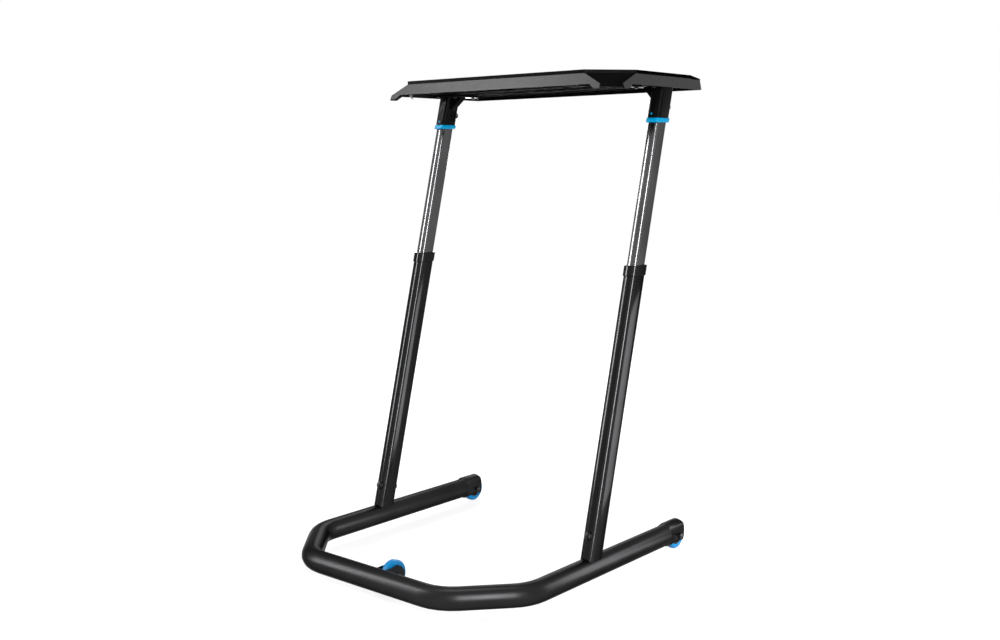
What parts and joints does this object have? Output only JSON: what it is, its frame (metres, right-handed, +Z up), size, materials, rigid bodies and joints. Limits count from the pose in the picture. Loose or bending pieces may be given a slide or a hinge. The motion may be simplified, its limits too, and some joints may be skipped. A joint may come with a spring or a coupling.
{
  "type": "bike trainer desk",
  "caption": "Rolling desk on a wheeled tube base, with leaning telescopic columns and a chamfered, ribbed desktop that is set to height by push buttons.",
  "frame": {"origin": "on the floor, below the middle of the box that holds the whole desk", "axes": "+Z up; +X across the desk, along the front bar of the base; +Y from the closed front bar towards the rider"},
  "size_m": [0.707, 0.7897, 1.1259],
  "materials": {
    "powder_coat": "satin",
    "bright_tube": "gloss",
    "gloss_plastic": "gloss",
    "satin_plastic": "satin",
    "blue_plastic": "gloss",
    "blue_rubber": "satin",
    "black_steel": "satin",
    "plain_steel": "brushed",
    "glide_plastic": "matte",
    "grip_mat": "matte"
  },
  "bodies": {
    "base": {"base_frame": "powder_coat", "front_wheel_bracket": "powder_coat", "front_axle_bolt": "black_steel", "front_axle_nut": "black_steel", "left_rear_axle_bolt": "black_steel", "left_rear_axle_nut": "black_steel", "right_rear_axle_bolt": "black_steel", "right_rear_axle_nut": "black_steel", "left_column_spigot": "powder_coat", "left_outer_column": "powder_coat", "left_column_bolt": "black_steel", "left_column_nut": "black_steel", "left_guide_collar": "gloss_plastic", "right_column_spigot": "powder_coat", "right_outer_column": "powder_coat", "right_column_bolt": "black_steel", "right_column_nut": "black_steel", "right_guide_collar": "gloss_plastic"},
    "desk": {"left_inner_column": "bright_tube", "left_glide_block": "glide_plastic", "left_blue_ring": "blue_plastic", "left_upper_bracket": "gloss_plastic", "right_inner_column": "bright_tube", "right_glide_block": "glide_plastic", "right_blue_ring": "blue_plastic", "right_upper_bracket": "gloss_plastic", "left_bracket_screw_1": "black_steel", "left_bracket_screw_2": "black_steel", "left_bracket_screw_3": "black_steel", "left_bracket_screw_4": "black_steel", "right_bracket_screw_1": "black_steel", "right_bracket_screw_2": "black_steel", "right_bracket_screw_3": "black_steel", "right_bracket_screw_4": "black_steel", "desktop_shell": "satin_plastic", "desktop_grip_mat": "grip_mat"},
    "left_release_button": {"left_release_button": "gloss_plastic"},
    "left_lock_rod": {"left_lock_rod": "plain_steel"},
    "left_lock_shoe": {"left_lock_shoe": "satin_plastic"},
    "right_release_button": {"right_release_button": "gloss_plastic"},
    "right_lock_rod": {"right_lock_rod": "plain_steel"},
    "right_lock_shoe": {"right_lock_shoe": "satin_plastic"},
    "front_wheel": {"front_wheel_tyre": "blue_rubber", "front_wheel_hub": "satin_plastic"},
    "left_rear_wheel": {"left_rear_wheel_tyre": "blue_rubber", "left_rear_wheel_hub": "satin_plastic"},
    "right_rear_wheel": {"right_rear_wheel_tyre": "blue_rubber", "right_rear_wheel_hub": "satin_plastic"}
  },
  "joints": [
    {"name": "desk_height", "type": "slide", "parent": "base", "child": "desk", "axis": [0, 0.249, 0.9685], "range_m": [-0.295, 0.098]},
    {"name": "left_lock_rod_travel", "type": "slide", "parent": "desk", "child": "left_lock_rod", "axis": [0, -0.249, -0.9685], "range_m": [0, 0.005], "stiffness_N_per_m": 800, "springref_m": -0.01},
    {"name": "left_button_press", "type": "slide", "parent": "desk", "child": "left_release_button", "axis": [0, -0.9685, 0.249], "range_m": [0, 0.005]},
    {"name": "left_shoe_retract", "type": "slide", "parent": "desk", "child": "left_lock_shoe", "axis": [0, -0.9685, 0.249], "range_m": [0, 0.0015]},
    {"name": "right_lock_rod_travel", "type": "slide", "parent": "desk", "child": "right_lock_rod", "axis": [0, -0.249, -0.9685], "range_m": [0, 0.005], "stiffness_N_per_m": 800, "springref_m": -0.01},
    {"name": "right_button_press", "type": "slide", "parent": "desk", "child": "right_release_button", "axis": [0, -0.9685, 0.249], "range_m": [0, 0.005]},
    {"name": "right_shoe_retract", "type": "slide", "parent": "desk", "child": "right_lock_shoe", "axis": [0, -0.9685, 0.249], "range_m": [0, 0.0015]},
    {"name": "front_wheel_spin", "type": "hinge", "parent": "base", "child": "front_wheel", "pos_m": [0, -0.304, 0.033], "axis": [1, 0, 0], "continuous": true},
    {"name": "left_rear_wheel_spin", "type": "hinge", "parent": "base", "child": "left_rear_wheel", "pos_m": [-0.326, 0.326, 0.033], "axis": [1, 0, 0], "continuous": true},
    {"name": "right_rear_wheel_spin", "type": "hinge", "parent": "base", "child": "right_rear_wheel", "pos_m": [0.326, 0.326, 0.033], "axis": [1, 0, 0], "continuous": true}
  ],
  "couplings": [
    {"joint": "left_button_press", "follows": "left_lock_rod_travel", "ratio": 1},
    {"joint": "left_shoe_retract", "follows": "left_lock_rod_travel", "ratio": 0.3},
    {"joint": "right_button_press", "follows": "right_lock_rod_travel", "ratio": 1},
    {"joint": "right_shoe_retract", "follows": "right_lock_rod_travel", "ratio": 0.3}
  ]
}
